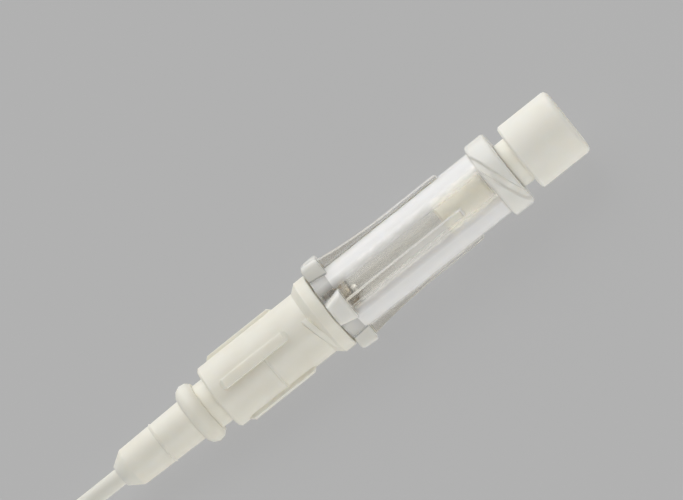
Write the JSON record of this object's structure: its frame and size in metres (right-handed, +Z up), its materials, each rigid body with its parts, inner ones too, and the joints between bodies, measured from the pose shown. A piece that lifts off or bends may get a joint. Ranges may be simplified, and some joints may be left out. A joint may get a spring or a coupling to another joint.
{
  "type": "aspirating catheter needle",
  "caption": "Catheter over a bevelled steel needle: tapered side-holed tube, white ribbed luer hub, clear finned needle hub and a white vent plug.",
  "frame": {"origin": "on the shaft's axis, where the catheter leaves the nose of its hub", "axes": "-X along the shaft to the needle's point, +X through both hubs to the vent plug, +Z up from the surface it lies on"},
  "size_m": [0.1242, 0.0082, 0.0082],
  "materials": {
    "catheter_plastic": "satin",
    "hub_white": "satin",
    "eyelet_metal": "bright",
    "needle_steel": "polished",
    "bond_resin": "gloss",
    "hub_clear": "clear gloss",
    "plug_white": "satin",
    "filter_porous": "porous"
  },
  "bodies": {
    "catheter": {"catheter_tube": "catheter_plastic", "catheter_hub": "hub_white", "catheter_eyelet": "eyelet_metal"},
    "needle": {"needle_cannula": "needle_steel", "cannula_bond": "bond_resin", "needle_hub": "hub_clear"},
    "plug": {"vent_plug": "plug_white", "vent_filter": "filter_porous"}
  },
  "joints": [
    {"name": "needle_draw", "type": "slide", "parent": "catheter", "child": "needle", "axis": [1, 0, 0], "range_m": [0, 0.1]},
    {"name": "plug_pull", "type": "slide", "parent": "needle", "child": "plug", "axis": [1, 0, 0], "range_m": [0, 0.01]}
  ]
}
